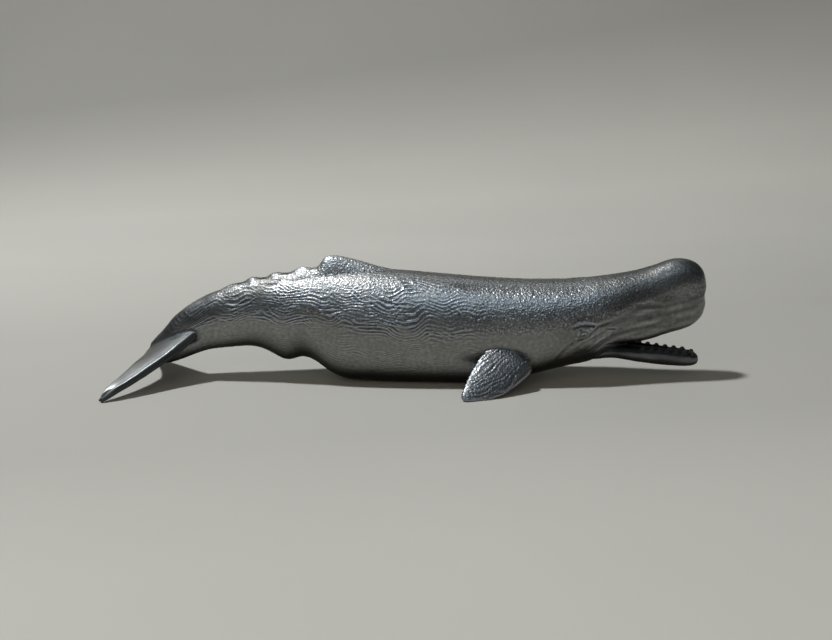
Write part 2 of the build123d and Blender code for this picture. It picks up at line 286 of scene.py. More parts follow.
pale_place = Vector((-250 * MM, 470 * MM, 700 * MM))
pale_sides = (1300 * MM, 850 * MM)
pale_watts = 3.0
pale_colour = (0.90, 0.96, 1.0)

bounce_place = Vector((-150 * MM, -1050 * MM, 350 * MM))
bounce_sides = (1400 * MM, 1400 * MM)
bounce_watts = 4.7
bounce_colour = (1.0, 0.88, 0.66)

room_colour = (0.95, 0.97, 1.0, 1)
room_strength = 0.07


def hang_light(name, shape, sides, watts, colour, place):
    """A flat light at a place, turned to the whale."""
    data = bpy.data.lights.new(name, "AREA")
    data.shape = shape
    data.size, data.size_y = sides
    data.energy = watts
    data.color = colour
    light = bpy.data.objects.new(name, data)
    light.location = place
    light.rotation_euler = place.to_track_quat("Z", "Y").to_euler()
    bpy.context.scene.collection.objects.link(light)
    return light


hang_light("overhead_lamp", "DISK", lamp_sides, lamp_watts, lamp_colour, lamp_place)
cool_panel = hang_light("cool_panel", "RECTANGLE", cool_sides, cool_watts, cool_colour, cool_place)
pale_panel = hang_light("pale_panel", "RECTANGLE", pale_sides, pale_watts, pale_colour, pale_place)
for panel in (cool_panel, pale_panel):
    panel.visible_diffuse = False
    panel.visible_camera = False
bounce = hang_light("room_bounce", "SQUARE", bounce_sides, bounce_watts, bounce_colour, bounce_place)
bounce.visible_glossy = False
bounce.visible_camera = False

room = bpy.data.worlds.new("dim_room")
room.use_nodes = True
room.node_tree.nodes["Background"].inputs["Color"].default_value = room_colour
room.node_tree.nodes["Background"].inputs["Strength"].default_value = room_strength
bpy.context.scene.world = room
bpy.context.scene.view_settings.view_transform = "Standard"
print("Lamp leans", round(degrees(lamp_lean)), "degrees")

# %% [markdown]
# ## One skin over all castings
# After soldering, the finisher files and burnishes the joints until the whale looks like one
# piece, so the sculpting is done on one skin and cut back into castings at the end. The six
# meshes are joined and wrapped by a voxel remesh. It closes the solder gaps, drops the hollow
# inside and leaves even little squares, which is what sculpting needs. The grid is shifted by
# half a cell, so that a row of points falls on the middle plane, where the halves meet.

# %% The skin
cell = 0.22 * MM
half_cell = Vector((0, cell / 2, 0))


def gathered(objects):
    """All points and faces of several objects, as two lists."""
    points, faces = [], []
    for item in objects:
        before = len(points)
        faces.extend([before + i for i in p.vertices] for p in item.data.polygons)
        points.extend(v.co.copy() for v in item.data.vertices)
    return points, faces


def joined_copy(objects, name):
    """One new object with the meshes of several, shifted by half a cell."""
    points, faces = gathered(objects)
    mesh = bpy.data.meshes.new(name)
    mesh.from_pydata([point + half_cell for point in points], [], faces)
    item = bpy.data.objects.new(name, mesh)
    bpy.context.scene.collection.objects.link(item)
    return item


def wrapped(item):
    """The even skin round an object: its points and its squares, in millimetres."""
    wrap = item.modifiers.new("wrap", "REMESH")
    wrap.mode = "VOXEL"
    wrap.voxel_size = cell
    wrap.adaptivity = 0.0
    done = item.evaluated_get(bpy.context.evaluated_depsgraph_get()).to_mesh()
    points = np.empty(len(done.vertices) * 3)
    done.vertices.foreach_get("co", points)
    corners = np.empty(len(done.loops), np.int64)
    done.loops.foreach_get("vertex_index", corners)
    squares = corners.reshape(-1, 4)
    points = points.reshape(-1, 3) - (0, cell / 2, 0)
    item.to_mesh_clear()
    bpy.data.objects.remove(item)
    return points / MM, squares


skin, squares = wrapped(joined_copy(castings.values(), "rough_skin"))
print("The skin has", len(skin), "points and", len(squares), "squares")

# %% [markdown]
# ## Evening out
# The wrap leaves faint steps from its grid. Each point is moved towards the mean of its
# neighbours and then a little back out, over and over. The two moves cancel the shrinking that
# plain smoothing brings, so edges and teeth stay as thick as they are.

# %% Smooth without shrinking
skin_rounds = 6
smallest_length = 1e-12
square_sides = [squares[:, [k, (k + 1) % 4]] for k in range(4)]
edges = np.unique(np.sort(np.concatenate(square_sides), axis=1), axis=0)


def neighbour_mean(values):
    """For each point of the skin, the mean of a value over its neighbours."""
    total = np.zeros_like(values)
    count = np.zeros(len(values))
    for here, there in (edges.T, edges.T[::-1]):
        count += np.bincount(here, minlength=len(values))
        for column in range(values.shape[1]):
            total[:, column] += np.bincount(here, values[there, column], len(values))
    return total / count[:, None]


def evened(points, rounds, inward=0.55, outward=-0.57):
    """Smooths points and keeps their volume."""
    for _ in range(rounds):
        for share in (inward, outward):
            points = points + share * (neighbour_mean(points) - points)
    return points


def outward_normals(points):
    """Unit normals at the points of the skin."""
    a, b, c, d = (points[squares[:, k]] for k in range(4))
    face = np.cross(c - a, d - b)
    total = np.zeros_like(points)
    for corner in squares.T:
        for column in range(3):
            total[:, column] += np.bincount(corner, face[:, column], len(points))
    return total / np.maximum(np.linalg.norm(total, axis=1), smallest_length)[:, None]


skin = evened(skin, skin_rounds)
normals = outward_normals(skin)
print("Smoothed skin spans", np.round(skin.max(0) - skin.min(0), 2), "mm")

# %% [markdown]
# ## Which casting a point belongs to
# Each point looks for the nearest casting. Inside a joint two castings are about as near: the
# body steps back by a hair there, and a few rounds of averaging with the neighbours make the
# borders run clean. The same soft shares later fade a texture out where one part of the whale
# meets the next.

# %% Shares of the castings
search_reach = 3.0
body_setback = 0.02
border_rounds = 4
part_nodes = {
    "body": ["body_shell_right", "body_shell_left"],
    "lower_jaw": ["lower_jaw"],
    "flipper_right": ["flipper_right"],
    "flipper_left": ["flipper_left"],
    "tail_fluke": ["tail_fluke"],
}
part_names = list(part_nodes)


def distance_to(nodes, points):
    """Distance from each point to some castings, as far as the search reaches."""
    corners, faces = gathered(castings[name] for name in nodes)
    tree = BVHTree.FromPolygons([corner / MM for corner in corners], faces)
    found = (tree.find_nearest(Vector(point), search_reach)[3] for point in points)
    return np.array([search_reach if away is None else away for away in found])


def part_shares(points):
    """Soft shares of the parts at each point, which add up to one."""
    away = np.stack([distance_to(part_nodes[name], points) for name in part_names], axis=1)
    away[:, 0] += body_setback
    shares = np.zeros_like(away)
    shares[np.arange(len(points)), away.argmin(axis=1)] = 1
    for _ in range(border_rounds):
        shares = 0.5 * shares + 0.5 * neighbour_mean(shares)
    return shares


shares = part_shares(skin)
share_of = {name: shares[:, k] for k, name in enumerate(part_names)}
points_per_part = np.bincount(shares.argmax(axis=1)).tolist()
print("Points per part:", dict(zip(part_names, points_per_part)))

# %% [markdown]
# ## Soldered joints, dressed smooth
# Where flippers, fluke and jaw meet the body, the finisher runs solder into the corner and
# rounds it off. Points near a joint are drawn to the mean of their neighbours, many times over,
# which fills the corner with a small fillet. The knuckles of the back get the same care: they
# stand up along the middle line, but their sides are rubbed down until they hardly show.

# %% Fillets and knuckles
joint_rounds = 40
joint_pull = 0.5
joint_widening = 5
joint_spread = 0.97
knuckle_reach = (-54.0, -24.0)
knuckle_fade = 2.5
knuckle_step = 0.5
knuckle_rounds = 60
knuckle_half_width = 3.2
knuckle_flat = 0.3
knuckle_shoulder = 1.0
knuckle_depth = 3.0
knuckle_rub = 0.85
middle_strip = 0.4


def near_joints():
    """How near a joint each point lies: 1 on it and 0 a millimetre or two away."""
    body = shares[:, :1]
    band = 4 * body * (1 - body)
    for _ in range(joint_widening):
        band = np.maximum(band, joint_spread * neighbour_mean(band))
    return band


def filleted(points):
    """Points near the joints, smoothed."""
    band = near_joints()
    for _ in range(joint_rounds):
        points = points + joint_pull * band * (neighbour_mean(points) - points)
    return points


def without_knuckle_sides(points):
    """Lowers the sides of the knuckles, so that only their tops stand up."""
    bins = np.arange(*knuckle_reach, knuckle_step)
    middle = points[np.abs(points[:, 1]) < middle_strip]
    line = np.array([middle[np.abs(middle[:, 0] - x) < knuckle_step, 2].max() for x in bins])
    mean = line.copy()
    for _ in range(knuckle_rounds):
        mean[1:-1] = (mean[:-2] + 2 * mean[1:-1] + mean[2:]) / 4
    ends = np.minimum(points[:, 0] - knuckle_reach[0], knuckle_reach[1] - points[:, 0])
    bump = np.interp(points[:, 0], bins, line - mean) * np.clip(ends / knuckle_fade, 0, 1)
    sideways = np.abs(points[:, 1])
    reach = np.clip(1 - (sideways / knuckle_half_width) ** 2, 0, 1)
    away = np.clip((sideways - knuckle_flat) / knuckle_shoulder, 0, 1)
    on_back = points[:, 2] > np.interp(points[:, 0], bins, mean) - knuckle_depth
    lowered = points.copy()
    lowered[:, 2] -= knuckle_rub * bump * reach * away * on_back
    return lowered


skin = without_knuckle_sides(filleted(skin))
normals = outward_normals(skin)
print("Joints rounded, skin spans", np.round(skin.max(0) - skin.min(0), 2), "mm")

# %% [markdown]
# ## Noise
# Skin is irregular, but it has to come out the same each time. This is gradient noise: random
# slopes on a grid of cells, blended smoothly. The seed fixes the slopes. Stretching the points
# before asking for the noise gives long streaks instead of round blobs.

# %% Gradient noise
slope_count = 256
noise_gain = 1.6


def noise(points, seed):
    """Smooth noise between about -1 and 1, with cells of unit size."""
    random = np.random.default_rng(seed)
    order = random.permutation(slope_count)
    slopes = random.normal(size=(slope_count, 3))
    slopes /= np.linalg.norm(slopes, axis=1)[:, None]
    base = np.floor(points).astype(np.int64)
    inside = points - base
    fade = inside**3 * (inside * (inside * 6 - 15) + 10)
    total = np.zeros(len(points))
    for corner in product((0, 1), repeat=3):
        index = np.zeros(len(points), np.int64)
        weight = np.ones(len(points))
        for axis, bit in enumerate(corner):
            index = order[(index + base[:, axis] + bit) % slope_count]
            weight = weight * (fade[:, axis] if bit else 1 - fade[:, axis])
        total += weight * ((inside - corner) * slopes[index]).sum(axis=1)
    return total * noise_gain


def ramp(value, start, end):
    """A smooth step from 0 at start to 1 at end."""
    t = np.clip((value - start) / (end - start), 0, 1)
    return t * t * (3 - 2 * t)


def between(value, fade_in, fade_out):
    """1 between two fades and 0 outside them."""
    return ramp(value, *fade_in) * (1 - ramp(value, *fade_out))


def at_least(share, least):
    """A share from 0 to 1, lifted so that it starts at its least."""
    return least + (1 - least) * share


trial = noise(skin, seed=1)
print("Noise on the skin runs from", round(trial.min(), 2), "to", round(trial.max(), 2))

# %% [markdown]
# ## Finding the way on the body
# Wrinkles follow the body, so they need the body's own coordinates: how far along, and how far
# up the flank from its middle line. The top, the bottom and the width of the trunk are read at
# even steps along the castings. The rest is an angle and a radius.

# %% Along and up the flank
step_length = 3.0
calm_rounds = 3
body_corners, _ = gathered(castings[name] for name in part_nodes["body"])
body_points = np.array([tuple(corner / MM) for corner in body_corners])
steps = np.arange(body_points[:, 0].min(), body_points[:, 0].max(), step_length)


def girth_at(x):
    """Top, bottom and half width of the body near x."""
    near = body_points[np.abs(body_points[:, 0] - x) < step_length]
    return near[:, 2].max(), near[:, 2].min(), np.abs(near[:, 1]).max()


def calm(values):
    """Evens out a short row of numbers."""
    for _ in range(calm_rounds):
        padded = np.concatenate([values[:1], values, values[-1:]])
        values = (padded[:-2] + 2 * padded[1:-1] + padded[2:]) / 4
    return values


girths = np.array([girth_at(x) for x in steps])
tops, bottoms, half_widths = (calm(row) for row in girths.T)
along, side, height = skin[:, 0], np.sign(skin[:, 1]), skin[:, 2]
middle_height = np.interp(along, steps, (tops + bottoms) / 2)
girth_radius = np.interp(along, steps, ((tops - bottoms) / 2 + half_widths) / 2)
flank_angle = np.degrees(np.arctan2(height - middle_height, np.abs(skin[:, 1])))
flank_rise = np.radians(flank_angle) * girth_radius
print("Body radius from", round(girth_radius.min(), 1), "to", round(girth_radius.max(), 1), "mm")

# %% [markdown]
# ## The wavy wrinkles
# A sperm whale's skin is wrinkled like a prune behind the head. The sculptor drew it as long
# wavy ridges along the body, about one millimetre apart, that swell, thin out and run into each
# other. One wave across the flank, bent by slow noise, makes such lines. Where the noise is
# steep the lines bow up into arches. Each ridge also swells and thins along its own length. A
# second set crosses the first at a small angle, and the higher of the two counts, which gives
# the forks. Finer and fainter lines run on under the flank. Angles are in degrees up the flank,
# and places along the whale are in millimetres from its middle.

# %% Wrinkles
wrinkle_pitch = 1.05
wrinkle_height = 0.19
wrinkle_sink = 0.3
fork_pitch = 1.3 * wrinkle_pitch
fork_lean = 0.16
fine_pitch = 0.70
fine_height = 0.05
fine_sink = 0.35
slow_cell = (7.0, 9.5)
quick_cell = (3.2, 3.4)
swell_cell = (3.8, 0.9)
swell_mean, swell_width = 0.72, 0.6
swell_range = (0.15, 1.25)
patch_stretch = 1.6
patch_floor = 0.35
fine_floor = 0.15
fine_on_flank = 0.35
wrinkles_start = (-64, -52)
wrinkles_end = (4, 26)
ragged_end = 6
ragged_size = 3.0
upper_flank = (-16, 4)
lower_flank = (-75, -45)
bare_back = (62, 84)
hump_fades = ((-34, -26), (-8, 2))
hump_widening = 16


def flank_noise(first, second, apart, seed):
    """Noise in two directions. The two sides of the whale lie some cells apart in it."""
    return noise(np.stack([first, second, side * apart], axis=1), seed)


def wavy_ridges(pitch, bend, sway, seed, sharpness, lean=0.0):
    """Ridges along the body, bent by noise: about 1 on a crest and 0 in a valley."""
    slow = flank_noise(along / slow_cell[0], flank_rise / slow_cell[1], 9.5, seed)
    quick = flank_noise(along / quick_cell[0], flank_rise / quick_cell[1], 7.5, seed + 1)
    turn = (flank_rise + lean * along) / pitch + bend * slow + sway * quick
    thick = flank_noise(along / swell_cell[0], turn * swell_cell[1], 4.5, seed + 2)
    swell = swell_mean + swell_width * thick
    return np.clip(swell, *swell_range) * (0.5 + 0.5 * np.cos(2 * np.pi * turn)) ** sharpness


def patches(size, seed, low=-0.45, high=0.25):
    """Soft patches where a texture is strong, for a hand-made look."""
    return ramp(flank_noise(along / size, flank_rise / size * patch_stretch, 5.5, seed), low, high)


near_hump = between(along, *hump_fades)


def skin_wrinkles():
    """Height of the wrinkles over the body, in millimetres."""
    main = wavy_ridges(wrinkle_pitch, bend=2.5, sway=0.6, seed=11, sharpness=2.8)
    forks = wavy_ridges(fork_pitch, bend=2.8, sway=0.7, seed=21, sharpness=2.8, lean=fork_lean)
    front = ragged_end * flank_noise(flank_rise / ragged_size, side * 3.5, 0, 35)
    where = ramp(along, *wrinkles_start) * (1 - ramp(along + front, *wrinkles_end))
    top_angle = flank_angle + hump_widening * near_hump
    upper = ramp(flank_angle, *upper_flank) * (1 - ramp(top_angle, *bare_back))
    strong = where * upper * at_least(patches(7, seed=31), patch_floor)
    crests = np.maximum(main, forks * patches(5, seed=41, low=-0.25, high=0.1))
    lower = where * (1 - upper) * ramp(flank_angle, *lower_flank)
    fine = wavy_ridges(fine_pitch, bend=2.6, sway=0.9, seed=51, sharpness=1.4)
    fine = fine * at_least(patches(6, seed=61, low=-0.2, high=0.45), fine_floor)
    faint = lower + fine_on_flank * where * upper
    deep_lines = wrinkle_height * strong * (crests - wrinkle_sink)
    return deep_lines + fine_height * faint * (fine - fine_sink)


body_share = share_of["body"]
wrinkles = skin_wrinkles() * body_share
print("Wrinkles rise up to", round(wrinkles.max(), 3), "mm")

# %% [markdown]
# ## The pebbled grain
# From the hump to the forehead the skin is stippled with a punch, grain beside grain, and so
# are the flippers. It makes the metal sparkle. The grain is coarsest on the front half of the
# back and on the hump. The coarse part of it is real relief here. Its finest part is left to the
# material.

# %% Pebbles
pebble_size = 0.62
pebble_height = 0.13
pebble_sink = 0.35
pebble_roundness = 0.7
grain_flank = (-2, 14)
grain_start = (-64, -40)
brow = (50, 62)
brow_thinning = 0.45
coarse_front = (6, 26)
coarse_hump = (30, 55)
finest_grain = 0.55


def pebbles(size, seed):
    """Round grains beside each other, about size apart, between 0 and 1."""
    return np.abs(noise(skin / size, seed)) ** pebble_roundness


flipper_share = share_of["flipper_right"] + share_of["flipper_left"]
grain_on_body = ramp(flank_angle, *grain_flank) * ramp(along, *grain_start) * body_share
grain_on_body = grain_on_body * (1 - brow_thinning * ramp(along, *brow))
coarse = np.maximum(ramp(along, *coarse_front), near_hump * ramp(flank_angle, *coarse_hump))
grain_on_body = grain_on_body * at_least(coarse, finest_grain)
grain_share = np.clip(grain_on_body + flipper_share, 0, 1)
grain = (pebbles(pebble_size, seed=71) - pebble_sink) * pebble_height * grain_share
print("Grain covers", round(100 * float((grain_share > 0.3).mean())), "% of the skin")

# %% [markdown]
# ## Folds and lines of the head
# The face has a small eye, half lost among lumps and pits, a brow, folds that run from the eye
# and from the corner of the mouth down to the throat, and long shallow dents along the forehead.
# Each is a line in the side view with a width and a depth. Round the eye, warts and pits are
# given by their place from the eye, their radius and their height. All of it is cut the same on
# both sides.

# %% Lines cut into the face
eye_place = (43.4, 14.6)
eye_stretch = (1.2, 0.7)
lid_width = 0.3
upper_lid = 0.07
lower_lid = 0.014
eye_warts = [
    (-1.5, -0.5, 0.42, 0.10),
    (-0.4, -0.3, 0.38, 0.08),
    (0.8, 0.8, 0.45, 0.09),
    (1.9, 1.2, 0.40, 0.08),
    (0.0, -0.6, 0.30, -0.12),
    (-0.8, 0.7, 0.34, -0.10),
    (2.4, 1.5, 0.34, -0.10),
    (-1.9, -1.4, 0.40, 0.07),
]
side_facing = (0.15, 0.45)
face_start = (30, 36)
tip_fade = (0.3, 2.2)
tip_depth = 0.35
face_strokes = [
    ([(40.9, 15.8), (42.2, 16.2), (43.8, 16.4), (46.4, 16.2)], 0.30, -0.15),
    ([(41.2, 17.0), (43.5, 17.3), (46.8, 16.9)], 0.45, 0.08),
    ([(41.8, 18.2), (44.0, 18.5), (46.4, 18.1)], 0.32, -0.05),
    ([(50.0, 16.9), (47.1, 16.1), (45.8, 14.9), (44.5, 13.3), (43.0, 12.8), (41.5, 12.5)], 0.36, -0.10),
    ([(41.5, 12.5), (39.6, 11.0), (38.1, 9.2), (37.1, 7.5), (36.4, 6.2)], 0.60, -0.15),
    ([(49.2, 15.0), (47.3, 14.0), (45.4, 12.9), (43.2, 11.8), (41.6, 10.2)], 0.34, -0.06),
    ([(49.6, 13.8), (47.4, 12.5), (45.6, 10.7), (43.5, 8.5), (42.7, 7.4)], 0.60, 0.15),
    ([(50.4, 12.9), (48.2, 11.3), (46.4, 9.4), (44.9, 7.6)], 0.50, -0.09),
    ([(49.2, 15.3), (51.6, 15.1)], 0.20, -0.12),
    ([(56.5, 11.2), (54.2, 10.8), (51.8, 10.8), (49.4, 10.9)], 0.30, -0.10),
    ([(60.5, 18.4), (63.5, 18.3), (67.1, 19.2), (70.5, 19.4), (73.8, 20.6)], 1.10, -0.24),
    ([(52.0, 16.6), (55.0, 17.5), (58.5, 17.9), (62.5, 17.0), (66.5, 18.0)], 0.90, -0.10),
    ([(66.0, 16.2), (69.5, 17.4), (72.0, 17.6)], 1.00, -0.14),
    ([(62.0, 22.6), (67.0, 22.2), (71.5, 23.9)], 1.20, -0.16),
    ([(49.5, 13.2), (54.0, 13.9), (58.5, 15.2), (63.0, 15.6)], 0.70, -0.13),
    ([(55.5, 20.6), (59.5, 20.9), (64.0, 20.2), (68.0, 21.2)], 0.80, -0.14),
]


def stroke(line, width, depth):
    """Height of a fold along a line of (x, z) places: below zero it is a crease, above a ridge."""
    place = np.stack([along, height], axis=1)
    best = np.full(len(skin), np.inf)
    for start, end in zip(line[:-1], line[1:]):
        start, end = np.array(start), np.array(end)
        run = end - start
        t = np.clip(((place - start) @ run) / (run @ run), 0, 1)
        best = np.minimum(best, np.linalg.norm(place - start - t[:, None] * run, axis=1))
    tips = [np.linalg.norm(place - np.array(tip), axis=1) for tip in (line[0], line[-1])]
    fade = np.minimum(*tips) / width
    return depth * np.exp(-((best / width) ** 2)) * at_least(ramp(fade, *tip_fade), tip_depth)


def dot(place, radius, rise):
    """A small lump or pit at a place in the side view."""
    over = np.hypot(along - place[0], height - place[1])
    return rise * np.exp(-((over / radius) ** 2))


def eye_relief():
    """The eyeball in its slit, with uneven lids, a pit on each side and warts below it."""
    x, z = eye_place
    ring = np.hypot((along - x) / eye_stretch[0], (height - z) / eye_stretch[1])
    lid_height = np.where(height > z, upper_lid, lower_lid)
    lids = lid_height * np.exp(-(((ring - 1.0) / lid_width) ** 2))
    warts = sum(dot((x + dx, z + dz), radius, rise) for dx, dz, radius, rise in eye_warts)
    return lids + warts


on_face = ramp(np.abs(normals[:, 1]), *side_facing) * body_share * ramp(along, *face_start)
face = sum(stroke(*item) for item in face_strokes) * on_face + eye_relief() * on_face
print("Face strokes:", len(face_strokes), "from", round(face.min(), 2), "to", round(face.max(), 2), "mm")

# %% [markdown]
# ## Soft streaks and hammered lumps
# No hand-made surface is as true as a drawing. Slow lumps, a few hundredths of a millimetre
# high, break up the reflections, with a finer mottle over the body. On the head and the jaw
# streaks and scratches run lengthwise, and the streaks rise with the forehead.

# %% Lumps and streaks
forehead_slant = 0.3
streaks_start = (34, 48)
lump_layers = [(4.2, 0.045, 81), (1.9, 0.018, 82)]
mottle_size, mottle_height = 0.95, 0.020
streak_size, streak_height = (9.0, 2.6, 2.0), 0.045
scratch_size, scratch_height = (2.4, 1.4, 0.8), 0.018
slanted = np.stack([along, skin[:, 1], height - forehead_slant * along], axis=1)


def lumps():
    """Slow unevenness over the whole whale, in millimetres."""
    round_lumps = sum(rise * noise(skin / size, seed) for size, rise, seed in lump_layers)
    head = ramp(along, *streaks_start) * body_share + share_of["lower_jaw"]
    streaks = streak_height * noise(slanted / streak_size, seed=83)
    scratches = scratch_height * noise(skin / scratch_size, seed=84)
    mottle = mottle_height * noise(skin / mottle_size, seed=85) * body_share
    return round_lumps + mottle + (streaks + scratches) * head


unevenness = lumps()
print("Unevenness up to", round(np.abs(unevenness).max(), 3), "mm")

# %% [markdown]
# ## Ridges on the flippers
# The fingers of the paddle show as wavy ridges that run out from the root, bow a little and fan
# out towards the tip. The flipper's own directions are taken from the casting: its span runs
# from root to tip, and its chord from the trailing to the leading edge. Along the span, places
# are shares of the flipper's length.

# %% Flipper ridges
flipper_root = np.array((27.15, 9.30, 7.90))
flipper_span = np.array((-0.751, 0.525, -0.398))
flipper_chord = np.array((0.560, 0.390, -0.730))
flipper_length = 20.3
finger_pitch = 1.1
finger_height = 0.13
finger_fades = ((0.0, 0.16), (0.74, 0.9))
fan_width, fan_fade = 0.35, (0.35, 0.95)
bow_depth, bow_middle = 0.0175, 0.45
wander_size, wander_width = (4.5, 2.5), 0.9
finger_patch = (3.0, 1.5)
finger_mean, finger_swell = 0.55, 0.6

mirrored = np.stack([skin[:, 0], np.abs(skin[:, 1]), skin[:, 2]], axis=1) - flipper_root
outwards = mirrored @ flipper_span / np.linalg.norm(flipper_span)
across = mirrored @ flipper_chord / np.linalg.norm(flipper_chord)
out_share = outwards / flipper_length
fan = 1 + fan_width * ramp(out_share, *fan_fade)
bow = bow_depth * (outwards - bow_middle * flipper_length) ** 2
wander = wander_width * flank_noise(outwards / wander_size[0], across / wander_size[1], 3.5, 91)
finger_turn = (across * fan + bow) / finger_pitch + wander
fingers = 0.5 * np.cos(2 * np.pi * finger_turn)
finger_patches = flank_noise(outwards / finger_patch[0], across / finger_patch[1], 6.5, 92)
finger_strength = finger_mean + finger_swell * finger_patches
finger_zone = between(out_share, *finger_fades) * flipper_share
flipper_relief = finger_height * fingers * finger_strength * finger_zone
print("Flipper ridges:", round(flipper_relief.max(), 2), "mm high")

# %% [markdown]
# ## The fluke
# The fluke is burnished smooth. Only faint lines run out along its lobes. Its edge is filed to
# a corner, so the points where the upper face turns down are drawn out a little. Points in the
# crease at its root are told from those on its edge by how they lie to their neighbours.

# %% Fluke lines and edge
fluke_share = share_of["tail_fluke"]
edge_height = 0.22
edge_facing, edge_width = 0.68, 0.13
convex_from = (0.0, 0.015)
creased_from = (0.0, 0.008)
line_size, line_height = (3.2, 9.0, 1.6), 0.04

turned_sideways = np.abs(normals[:, 1])
roundness = ((skin - neighbour_mean(neighbour_mean(skin))) * normals).sum(axis=1)
convex = ramp(roundness, *convex_from)
creased = ramp(-roundness, *creased_from)
at_corner = np.exp(-(((turned_sideways - edge_facing) / edge_width) ** 2)) * (normals[:, 2] > 0)
fluke_edge = edge_height * at_corner * convex * fluke_share
fluke_lines = line_height * noise(skin / line_size, seed=95) * fluke_share
print("Fluke lines:", round(np.abs(fluke_lines).max(), 3), "mm, edge", round(fluke_edge.max(), 2), "mm")

# %% [markdown]
# ## Putting the relief on
# All heights are added up and each point moves along its normal. What would dip below the table
# is ground flat, as the caster does so that the whale doesn't rock.

# %% Relief
def ground_flat(points):
    """Points kept on or above the table."""
    points = points.copy()
    points[:, 2] = np.maximum(points[:, 2], 0)
    return points


relief = wrinkles + grain + face + unevenness + flipper_relief + fluke_lines + fluke_edge
worked = ground_flat(skin + normals * relief[:, None])
worked_normals = outward_normals(worked)
print("Worked skin spans", np.round(worked.max(0) - worked.min(0), 2), "mm")

# %% [markdown]
# ## How hollow each point lies
# Dark wax stays where a rag doesn't reach. The mean height of a wide ring of neighbours, minus
# a point's own, says how deep it lies. The same number marks the crests that get rubbed bright.

# %% Depth for the finish
hollow_rounds = 5


def hollowness(points, directions):
    """Positive in hollows and negative on crests, in millimetres."""
    mean = points
    for _ in range(hollow_rounds):
        mean = neighbour_mean(mean)
    return ((mean - points) * directions).sum(axis=1)


depth = hollowness(worked, worked_normals)
print("Hollowness: 5% lie deeper than", round(float(np.percentile(depth, 95)), 3), "mm")

# %% [markdown]
# ## Painted shade and dull black
# Shade is painted into the colour here as dull black: under the belly and the jaw, in the roof
# and on the floor of the mouth, on the teeth inside it, and on the turned-down rim of the fluke.
# Most of this follows from how far a point faces up or down. The teeth are found by how high a
# point lies on the jaw. The top of the head gets a painted dark reflection, above a line that
# rises towards the forehead, and the hump and the top of the tail are darkened to tone down the
# lamp's highlight there. The jaw is darkened in soft patches as painted shade under the head.
# Throat, cheek and flippers are darker in soft patches, and the cheek has random dark smears.
# Fluke and hump are polished less than the rest, and have a satin shine. Two tables say how much
# black each zone gets. The other pairs of numbers say where a zone fades in or out: along the
# whale and up it in millimetres, round its flank in degrees, and from -1 to 1 for how far a
# point faces up, down or sideways.

# %% The dull black and the painted shade
# Painted shade: belly, under_jaw, palate, tongue, teeth and fluke_rim. head_cap is a painted dark
# reflection, hump is painted shade over the lamp's highlight, smears are random dark streaks.
shade_and_black_left = {
    "belly": 1.0,
    "under_jaw": 0.6,
    "palate": 0.8,
    "tongue": 1.0,
    "teeth": 1.0,
    "fluke_rim": 0.9,
    "head_cap": 0.6,
    "smears": 0.3,
    "hump": 0.08,
}
# jaw and tail_top are painted shade, under the head and over the lamp's highlight on the tail; cheek,
# throat and flippers are only darker in soft patches.
patchy_shade_and_black_left = {
    "cheek": 0.10,
    "throat": 0.30,
    "jaw": 0.62,
    "flippers": 0.38,
    "tail_top": 0.60,
}
fluke_satin = 0.3
belly_down, belly_end = (0.22, 0.75), (44, 50)
under_jaw_down = (-0.1, 0.5)
palate_down, palate_start = (0.5, 0.9), (47, 52)
tongue_up = (0.45, 0.8)
teeth_rise = (0.62, 0.75)
rim_sideways, rim_up = (0.60, 0.70), (0.2, 0.5)
cap_line = ([42, 50, 73], [21.5, 19.0, 27.3])
cap_fade, cap_start = (-0.8, 1.4), (42, 54)
cheek_start, cheek_top = (30, 46), (20, 50)
throat_height, throat_end = (8.0, 13.0), (48, 60)
tail_start, tail_flank = (-38, -24), (5, 40)
hump_flank = (25, 50)
smear_size, smear_fade = (7.0, 3.0, 1.6), (-0.25, 0.35)
rag_size, rag_mean, rag_change = (5.0, 3.0, 2.2), 1.0, 0.45
jaw_step = 1.0
jaw_reach = 1.3


def jaw_rise():
    """How high each point lies on the jaw: 0 at its lower edge and 1 at the tips of the teeth."""
    jaw_points = skin[share_of["lower_jaw"] > 0.5]
    bins = np.arange(jaw_points[:, 0].min(), jaw_points[:, 0].max(), jaw_step)
    near = [jaw_points[np.abs(jaw_points[:, 0] - x) < jaw_reach, 2] for x in bins]
    low = np.interp(along, bins, [row.min() for row in near])
    high = np.interp(along, bins, [row.max() for row in near])
    return (height - low) / (high - low)


def fluke_rim():
    """The rim of the fluke, for painted shade: where its faces turn sideways or down, but not the crease
    at its root.
    """
    rim = np.maximum(ramp(turned_sideways, *rim_sideways), 1 - ramp(normals[:, 2], *rim_up))
    return rim * (1 - creased) * fluke_share


def shade_and_black_zones():
    """Zones of painted shade and dull black, each from 0 to 1."""
    jaw = share_of["lower_jaw"]
    up, down = normals[:, 2], -normals[:, 2]
    above_cap_line = height - np.interp(along, *cap_line)
    return {
        "belly": ramp(down, *belly_down) * (1 - ramp(along, *belly_end)),
        "under_jaw": ramp(down, *under_jaw_down) * jaw,
        "palate": ramp(down, *palate_down) * ramp(along, *palate_start) * body_share,
        "tongue": ramp(up, *tongue_up) * jaw,
        "teeth": ramp(jaw_rise(), *teeth_rise) * jaw,
        "fluke_rim": fluke_rim(),
        "head_cap": ramp(above_cap_line, *cap_fade) * ramp(along, *cap_start) * body_share,
        "smears": ramp(noise(slanted / smear_size, seed=98), *smear_fade) * cheek,
        "hump": hump_zone,
    }


def patchy_zones():
    """Zones that are darker in soft patches, each from 0 to 1."""
    return {
        "cheek": cheek,
        "throat": cheek * (1 - ramp(height, *throat_height)) * (1 - ramp(along, *throat_end)),
        "jaw": share_of["lower_jaw"],
        "flippers": flipper_share,
        "tail_top": (1 - ramp(along, *tail_start)) * ramp(flank_angle, *tail_flank) * body_share,
    }


